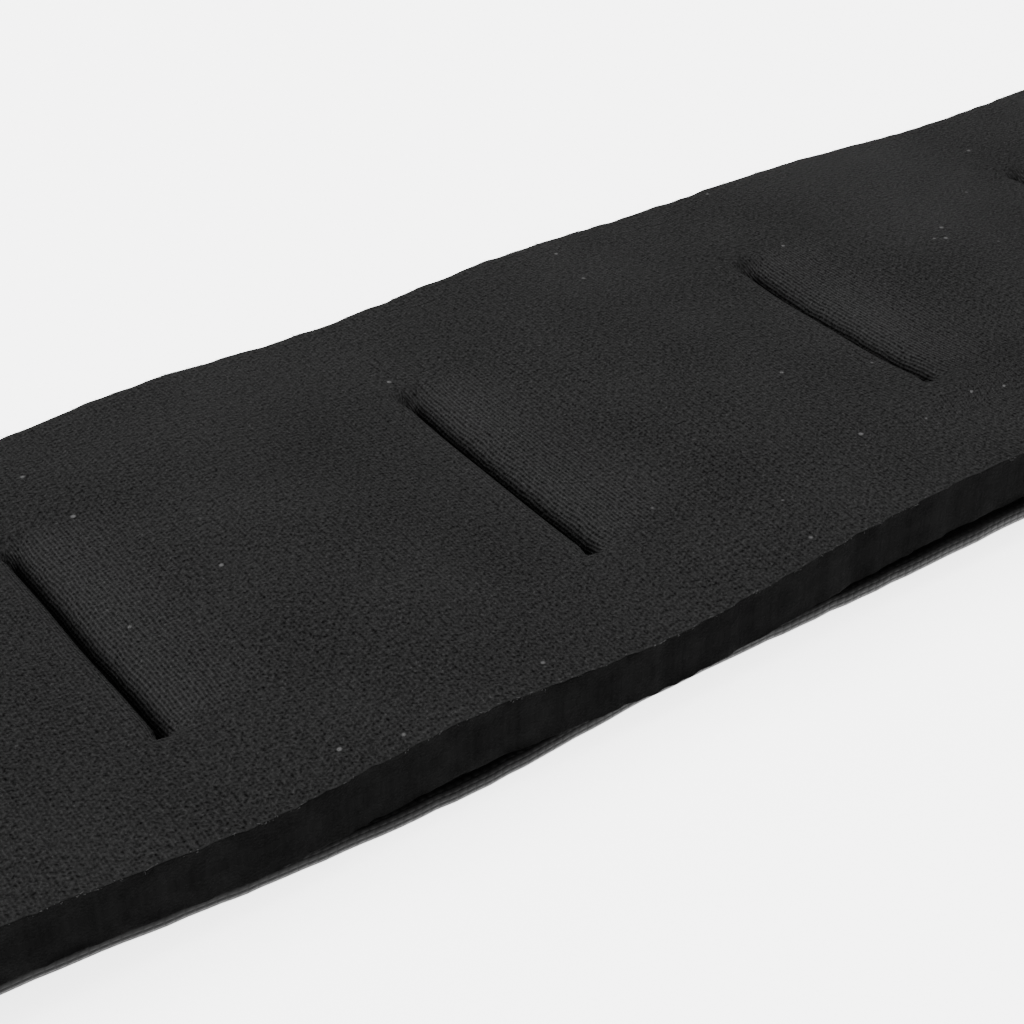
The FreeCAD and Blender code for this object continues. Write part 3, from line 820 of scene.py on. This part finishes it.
def make_liner():
    columns = strip_columns(
        -LINER_END, LINER_END, fine_reach=DENT_RIGHT[0], fine_step=0.25, coarse_step=0.75, corner=LINER_CORNER_R
    )
    half = half_width(columns, LINER_WIDTH, LINER_CORNER_R, -LINER_END, LINER_END)
    near = -(half + EDGE_WAVINESS * edge_wave_near(columns))
    far = half + EDGE_WAVINESS * edge_wave_far(columns)
    across, sides = 85, 4
    strip = make_strip(
        columns, near, far, liner_top, no_shift(liner_bottom), across, sides, LINER_EDGE_R,
        [jersey, foam, cut_jersey], side_kind=1,
    )
    # The cut sides are a little hollow and uneven, and the jersey's cut edge shows along their top.
    around = strip.rings.shape[1]
    middle = around // 2
    for j in [*range(sides), *range(around - sides, around)]:
        strip.rings[:, j, 1] += SIDE_HOLLOW + SIDE_UNEVENNESS * side_wave(columns)
    for j in range(middle - sides, middle + sides):
        strip.rings[:, j, 1] -= SIDE_HOLLOW + SIDE_UNEVENNESS * side_wave(columns + 11.0)
    strip.ring_materials[sides] = strip.ring_materials[middle - sides - 2] = 2
    strip.normals = grid_normals(strip.rings)

    face = slice(sides + 1, sides + 1 + across)
    share = np.linspace(0, 1, across)[None, :]
    y = (near + LINER_EDGE_R)[:, None] * (1 - share) + (far - LINER_EDGE_R)[:, None] * share
    _, _, cloth, rib_and_shade_share = dent(columns[:, None] + 0 * y, y)
    strip.surface[:, face, 0] += cloth
    # The surface's third place carries the share of ribs and of painted shade in the creases.
    strip.surface[:, face, 2] = rib_and_shade_share

    for k, low, high in bend_sections(-LINER_END, LINER_END):
        obj = strip.length("liner_section_%d" % (k + BENDS_EACH_SIDE), low, high)
        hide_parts("liner_" + segment(k - 1), "liner_" + segment(k))
        bend_belt(obj)


make_liner()


# -------------------- webbing and loops

def make_webbing():
    start, end = STRAP_START, TAIL_END
    columns = strip_columns(start, TACKED_END, fine_reach=3.0, fine_step=1.0, coarse_step=1.6, corner=0)
    tail = np.arange(TACKED_END + TAIL_STEP, end - TAIL_CORNER_R, TAIL_STEP)
    corner = end - TAIL_CORNER_R * (1 - np.sin(np.linspace(0, math.pi / 2, 14)))
    columns = np.unique(np.round(np.concatenate([columns, tail, corner, TAIL_BORDERS]), 4))
    shift = through(webbing_aside, columns) * smooth((ASIDE_UP_TO - np.abs(columns)) / ASIDE_OVER)
    # Its low end has no round corners, so it is put well beyond the start.
    half = half_width(columns, WEBBING_WIDTH, TAIL_CORNER_R, start - 100.0, end)
    half += WEBBING_WAVINESS * edge_wave_near(columns * 0.6)
    strip = make_strip(
        columns, shift - half, shift + half, no_shift(webbing_top), no_shift(webbing_bottom),
        across=27, sides=2, r=0.55, materials=[nylon],
    )
    for k, low, high in bend_sections(start, TAIL_BORDERS[0]):
        obj = strip.length("webbing_section_%d" % (k + BENDS_EACH_SIDE), low, high)
        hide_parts("webbing_" + segment(k - 1), "webbing_" + segment(k))
        bend_belt(obj)
    ends = [*TAIL_BORDERS, end]
    for k in range(1, 4):
        obj = strip.length("webbing_tail_section_%d" % k, ends[k - 1], ends[k])
        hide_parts("webbing_tail_%d" % k)
        bend_with(obj)


def loop_bottom(s, y):
    share = s / PITCH - np.floor(s / PITCH)    # 0 at a tack and 1 at the next
    slack = smooth(np.minimum(share, 1 - share) * PITCH / LOOP_RAMP)
    bulge = LOOP_BULGE * (1 - (2 * y / LOOP_WIDTH) ** 2) * slack
    return WEBBING_BOTTOM - LOOP_THICKNESS - LOOP_GAP - (LOOP_SLACK - LOOP_FLOOR_GAP) * slack - bulge


def loop_top(s, y):
    return loop_bottom(s, y) + LOOP_THICKNESS


def make_loops():
    end = PITCH * TACKS_EACH_SIDE + LOOP_PAST_TACK
    columns = strip_columns(-end, end, fine_reach=3.0, fine_step=1.0, coarse_step=1.4, corner=0)
    half = half_width(columns, LOOP_WIDTH, 1.0, -end, end) + LOOP_WAVINESS * edge_wave_far(columns)
    strip = make_strip(
        columns, -half, half, no_shift(loop_top), no_shift(loop_bottom),
        across=19, sides=2, r=0.4, materials=[loop_nylon],
    )
    for k, low, high in bend_sections(-end, end):
        obj = strip.length("loop_webbing_section_%d" % (k + BENDS_EACH_SIDE), low, high)
        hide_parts("loops_" + segment(k - 1), "loops_" + segment(k))
        bend_belt(obj)


make_webbing()
make_loops()


# -------------------- threads and loose fibres

def tube_along(path, radii, sides=6):
    """Points and faces of a round tube through a row of points; radii is one number or one for each."""
    path = np.asarray(path, float)
    radii = np.broadcast_to(radii, len(path))[:, None]
    ahead = np.gradient(path, axis=0)
    ahead /= np.maximum(np.linalg.norm(ahead, axis=1, keepdims=True), 1e-9)
    side = np.cross(ahead, np.tile(SLANT, (len(path), 1)))
    side /= np.maximum(np.linalg.norm(side, axis=1, keepdims=True), 1e-9)
    up = np.cross(side, ahead)
    points = []
    for n in range(sides):
        angle = 2 * math.pi * n / sides
        points.append(path + radii * (math.cos(angle) * side + math.sin(angle) * up))
    return np.stack(points, axis=1).reshape(-1, 3), tube_faces(len(path), sides)


class Bundle:
    """Many small tubes in one mesh."""

    def __init__(self):
        self.points = []
        self.faces = []
        self.count = 0

    def add(self, points, faces):
        self.points.append(points)
        self.faces += [tuple(n + self.count for n in face) for face in faces]
        self.count += len(points)

    def make(self, name, material):
        points = np.concatenate(self.points)
        return new_object(name, points, self.faces, [material], surface=points)


def zigzag(s, half, width, z, lift, step):
    """The thread of a bar tack: close zigzags across a line of the belt."""
    count = int(2 * half / step)
    path = []
    for n in range(count + 1):
        y = -half + step * n
        x = s + (width / 2 if n % 2 else -width / 2)
        path.append((x, y, z))
        if n < count:
            path.append((s, y + step / 2, z + lift))
    return np.array(path)


def make_tacks():
    for k in range(-TACKS_EACH_SIDE, TACKS_EACH_SIDE + 1):
        s = PITCH * k
        bundle = Bundle()
        under = float(loop_bottom(np.array([s]), np.array([0.0]))[0])
        path = zigzag(s, LOOP_WIDTH / 2 - 0.5, width=2.0, z=under - 0.06, lift=-0.12, step=0.42)
        bundle.add(*tube_along(path, TACK_THREAD_R))
        path = zigzag(s, TACK_LENGTH / 2, width=0.5, z=face_height(s, 0) + 0.05, lift=0.12, step=0.8)
        path[:, 1] += DENT_SHIFT_Y
        bundle.add(*tube_along(path, TACK_THREAD_R))
        obj = bundle.make("tack_thread_%02d" % (k + TACKS_EACH_SIDE + 1), thread)
        if k % 2:
            bend = (k + 1) // 2
            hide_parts("tacks_" + segment(bend - 1))
            if abs(bend - 0.5) < BENDS_EACH_SIDE:
                bend_belt(obj)
        else:
            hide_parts("tacks_" + segment(k // 2))
            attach(obj, "belt_" + segment(k // 2))


def make_edge_fibres():
    """Short loose fibres of jersey along the liner's two cut upper edges."""
    draw = np.random.default_rng(SEED + 1)
    for k, low, high in bend_sections(FIBRES_FROM_END - LINER_END, LINER_END - FIBRES_FROM_END):
        bundle = Bundle()
        for side in (-1, 1):
            wave = edge_wave_near if side < 0 else edge_wave_far
            for s in np.sort(draw.uniform(low + 0.5, high - 0.5, int((high - low) * FIBRES_PER_MM))):
                y = side * (LINER_WIDTH / 2 + 0.10 * wave(s) - 0.12)
                z = face_height(s, y) - draw.uniform(0.0, 0.25)
                reach = draw.uniform(0.10, 0.30) * (2.0 if draw.random() < 0.05 else 1.0)
                lean = np.array([draw.normal(0, 1.0), side * draw.uniform(0.1, 0.7), draw.uniform(0.1, 0.9)])
                lean /= np.linalg.norm(lean)
                curl = draw.normal(0, 0.3, 3) * (1, 1, 0.3)
                steps = np.linspace(0, 1, 5)[:, None]
                path = np.array([s, y, z]) + reach * (steps * lean + steps ** 2 * curl)
                bundle.add(*tube_along(path, np.linspace(*FIBRE_R, 5), 3))
        obj = bundle.make("edge_fibres_%d" % (k + BENDS_EACH_SIDE), fibre)
        bend_belt(obj)


make_tacks()
make_edge_fibres()


# -------------------- buckle end

BAR_S = JOINTS["buckle_swivel"]["pos_m"][0] / MM - MIDDLE_X
BAR_Z = JOINTS["buckle_swivel"]["pos_m"][2] / MM
BAR_R = 2.5
FOLD_R = BAR_R + WEBBING_THICKNESS / 2
RAMP_START = -404.0
FOLD_END = -411.0
FOLD_GAP = 0.04
FOLD_STEP = 1.2
FOLD_SOFTNESS = 1.2            # how gently the folded-back layer comes up to the main one


def ramp_centre(s):
    """The middle of the webbing's thickness where it climbs from the liner's end to the buckle's bar."""
    climb = smooth((RAMP_START - s) / (RAMP_START - BAR_S))
    low = WEBBING_BOTTOM + WEBBING_THICKNESS / 2
    return low + climb * (BAR_Z + FOLD_R - low)


def folded_centre(s):
    """The middle of the folded-back layer: level under the bar, then close under the main layer."""
    level = BAR_Z - FOLD_R
    beneath = ramp_centre(s) - WEBBING_THICKNESS - FOLD_GAP
    return -FOLD_SOFTNESS * np.log(np.exp(-level / FOLD_SOFTNESS) + np.exp(-beneath / FOLD_SOFTNESS))


def fold_path():
    """The webbing's line from the liner, where it takes the strap's height, round the bar and back."""
    main_s = np.concatenate([[STRAP_START], np.arange(STRAP_START - 2, BAR_S, -FOLD_STEP), [BAR_S]])
    main = np.column_stack([main_s, ramp_centre(main_s)])
    under = main_s > -LINER_END
    main[under, 1] = webbing_bottom(main_s[under], np.zeros(under.sum())) + WEBBING_THICKNESS / 2 + 0.05
    turn = np.linspace(math.pi / 2, 3 * math.pi / 2, 17)[1:-1]
    curl = np.column_stack([BAR_S + FOLD_R * np.cos(turn), BAR_Z + FOLD_R * np.sin(turn)])
    back_s = np.arange(BAR_S, FOLD_END, FOLD_STEP)
    back = np.column_stack([back_s, folded_centre(back_s)])
    return np.concatenate([main, curl, back])


def ribbon_rings(path, width, thickness, r, across):
    """Rings of a flat strap that follows a line in the XZ plane, with rounded edges."""
    ahead = np.gradient(path, axis=0)
    ahead /= np.linalg.norm(ahead, axis=1, keepdims=True)
    out = np.column_stack([ahead[:, 1], -ahead[:, 0]])
    half, h = width / 2, thickness / 2
    profile = [(-half, h - r), (-half + 0.3 * r, h - 0.3 * r)]
    profile += [(y, h) for y in np.linspace(-(half - r), half - r, across)]
    profile += [(half - 0.3 * r, h - 0.3 * r), (half, h - r)]
    profile += [(y, -z) for y, z in profile[::-1]]
    rings = []
    for y, z in profile:
        line = path + out * z
        rings.append(np.column_stack([line[:, 0], np.full(len(path), y), line[:, 1]]))
    return np.stack(rings, axis=1), profile


def make_buckle_end():
    path = fold_path()
    rings, profile = ribbon_rings(path, WEBBING_WIDTH, WEBBING_THICKNESS, 0.5, 27)
    run = np.concatenate([[0], np.cumsum(np.linalg.norm(np.diff(path, axis=0), axis=1))])
    surface = np.zeros(rings.shape)
    surface[:, :, 0] = (STRAP_START - run)[:, None]
    surface[:, :, 1] = np.array([y for y, _ in profile])[None, :]
    faces = [face[::-1] for face in tube_faces(len(path), rings.shape[1])]
    obj = new_object(
        "webbing_buckle_fold", rings.reshape(-1, 3), faces, [nylon], surface=surface.reshape(-1, 3)
    )
    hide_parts("webbing_buckle_end")
    bend_with(obj)


def stitch_row(bundle, start, end, centre, to_face, lift):
    """A row of lock stitches between two places on the strap, whose middle lies at centre(s)."""
    start, end = np.array(start, float), np.array(end, float)
    total = np.linalg.norm(end - start)
    count = max(1, round(total / STITCH_PITCH))
    for n in range(count):
        a = start + (end - start) * (n + 0.12) / count
        b = start + (end - start) * (n + 0.88) / count
        shares = np.linspace(0, 1, 7)
        flat = a[None, :] + (b - a)[None, :] * shares[:, None]
        z = centre(flat[:, 0]) + to_face + lift * (0.35 + 0.65 * np.sin(math.pi * shares))
        radii = STITCH_R * np.sqrt(np.clip(1 - (2 * shares - 1) ** 4, 0.12, 1))
        bundle.add(*tube_along(np.column_stack([flat, z]), radii, 8))


def make_fold_stitching():
    """A box with a cross in it, sewn through both layers of the fold."""
    bundle = Bundle()
    s0, s1 = BOX_ENDS
    corners = [(s0, -BOX_HALF), (s1, -BOX_HALF), (s1, BOX_HALF), (s0, BOX_HALF)]
    runs = [(corners[n], corners[(n + 1) % 4]) for n in range(4)]
    runs += [(corners[0], corners[2]), (corners[1], corners[3])]
    for start, end in runs:
        stitch_row(bundle, start, end, ramp_centre, WEBBING_THICKNESS / 2, STITCH_LIFT)
        stitch_row(bundle, start, end, folded_centre, -WEBBING_THICKNESS / 2, -STITCH_LIFT)
    obj = bundle.make("fold_box_stitching", thread)
    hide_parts("fold_stitching")
    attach(obj, "buckle_end")


def make_keeper():
    """The elastic keeper: a flat band sewn into a loop round the tail."""
    low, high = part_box("tail_keeper")
    s0, s1 = low.x / MM - MIDDLE_X, high.x / MM - MIDDLE_X
    half, z0, z1 = high.y / MM, low.z / MM, high.z / MM
    r = KEEPER_CORNER_R
    loop = []
    corners = [(half - r, z1 - r), (-half + r, z1 - r), (-half + r, z0 + r), (half - r, z0 + r)]
    for quarter, (cy, cz) in enumerate(corners):
        start = quarter * math.pi / 2
        loop += [(cy, cz, start + turn) for turn in np.linspace(0, math.pi / 2, 7)]
        if quarter in (0, 2):
            other = corners[quarter + 1][0]
            flat = np.linspace(0, 1, KEEPER_FLAT_STEPS)[1:-1]
            loop += [(cy + (other - cy) * share, cz, start + math.pi / 2) for share in flat]
    # Each point of the band's section: how far across the band, and from 0 at its inside to 1 at its outside
    across = s1 - s0
    profile = [(0, 0.5), (0, 0.82), (0.12, 1.0)]
    profile += [(x, 1.0) for x in np.linspace(0.5, across - 0.5, 22)]
    profile += [(across - 0.12, 1.0), (across, 0.82), (across, 0.5)]
    profile += [(x, 1 - w) for x, w in profile[::-1]]
    rings, surface = [], []
    run, last = 0.0, None
    for cy, cz, angle in loop:
        out = np.array([math.cos(angle), math.sin(angle)])
        place = np.array([cy, cz]) + r * out
        run += 0.0 if last is None else float(np.linalg.norm(place - last))
        last = place
        for x, w in profile:
            on_face = w > 0.5 and 0.3 < x < across - 0.3
            rib = KEEPER_RIB_HEIGHT * math.cos(2 * math.pi * x / KEEPER_RIB_PITCH) if on_face else 0.0
            reach = r - KEEPER_WALL * (1 - w) + rib - KEEPER_RIB_HEIGHT
            rings.append((s0 + x, cy + reach * out[0], cz + reach * out[1]))
            surface.append((run, x, 0))
    faces = quads(len(loop), len(profile), closed=True)
    obj = new_object("tail_keeper_band", rings, faces, [elastic], surface=surface)
    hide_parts("tail_keeper")
    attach(obj, "keeper")


make_buckle_end()
make_fold_stitching()
make_keeper()

STEEL_NODES = {"buckle_frame": plate_steel, "buckle_lever": plate_steel, "buckle_pin": pin_steel}
for node, material in STEEL_NODES.items():
    mesh = frame["nodes"][node].data
    mesh.materials.clear()
    mesh.materials.append(material)


# -------------------- floor, lights and camera

def make_floor():
    floor = new_object(
        "floor",
        [(x * FLOOR_REACH, y * FLOOR_REACH, 0) for x, y in ((-1, -1), (1, -1), (1, 1), (-1, 1))],
        [(0, 1, 2, 3)],
        [floor_material()],
    )
    floor.data.shade_flat()


def floor_material():
    """White paper lit through from behind, as on a light table, so that it hardly takes a shadow."""
    g = Graph("pale_floor", 0.9, 0.1)
    g.shader.inputs["Base Color"].default_value = (0.88, 0.88, 0.88, 1)
    g.shader.inputs["Emission Color"].default_value = (1, 1, 1, 1)
    g.shader.inputs["Emission Strength"].default_value = 3.5
    return g.material


def put_in_scene(obj, place, turn):
    obj.location = place
    obj.rotation_mode = "QUATERNION"
    obj.rotation_quaternion = turn
    bpy.context.scene.collection.objects.link(obj)


def area_light(name, place, target, size, power):
    light = bpy.data.lights.new(name, "AREA")
    light.shape = "RECTANGLE"
    light.size, light.size_y = size
    light.energy = power
    put_in_scene(bpy.data.objects.new(name, light), place, (target - place).to_track_quat("-Z", "Y"))


def make_lights():
    middle = at(40, 0, 0)
    area_light("overhead_softbox", middle + Vector((0.1, 0.25, 1.5)), middle, (1.6, 1.6), 47)
    area_light("left_softbox", middle + Vector((-1.3, -0.5, 0.75)), middle, (0.9, 0.9), 25)
    area_light("back_softbox", middle + Vector((0.5, 1.4, 0.6)), middle, (1.2, 0.6), 8.0)
    world = bpy.data.worlds.new("studio")
    world.use_nodes = True
    background = world.node_tree.nodes["Background"]
    background.inputs["Color"].default_value = (1, 1, 1, 1)
    background.inputs["Strength"].default_value = 1.0
    bpy.context.scene.world = world


def make_camera():
    """Looks along the belt from its left, at 35 degrees above it."""
    camera = bpy.data.cameras.new("camera")
    camera.lens = 75.0
    camera.sensor_width = 36.0
    camera.clip_start = 0.005
    camera.clip_end = 20.0
    obj = bpy.data.objects.new("camera", camera)
    place = at(-46.0, -124.6, LINER_LEVEL + 100.1)
    target = at(35.3, -7.95, LINER_LEVEL)
    look = (target - place).to_track_quat("-Z", "Y")
    roll = Matrix.Rotation(math.radians(-0.42), 3, "Z").to_quaternion()
    put_in_scene(obj, place, look @ roll)
    bpy.context.scene.camera = obj


make_floor()
make_lights()
make_camera()
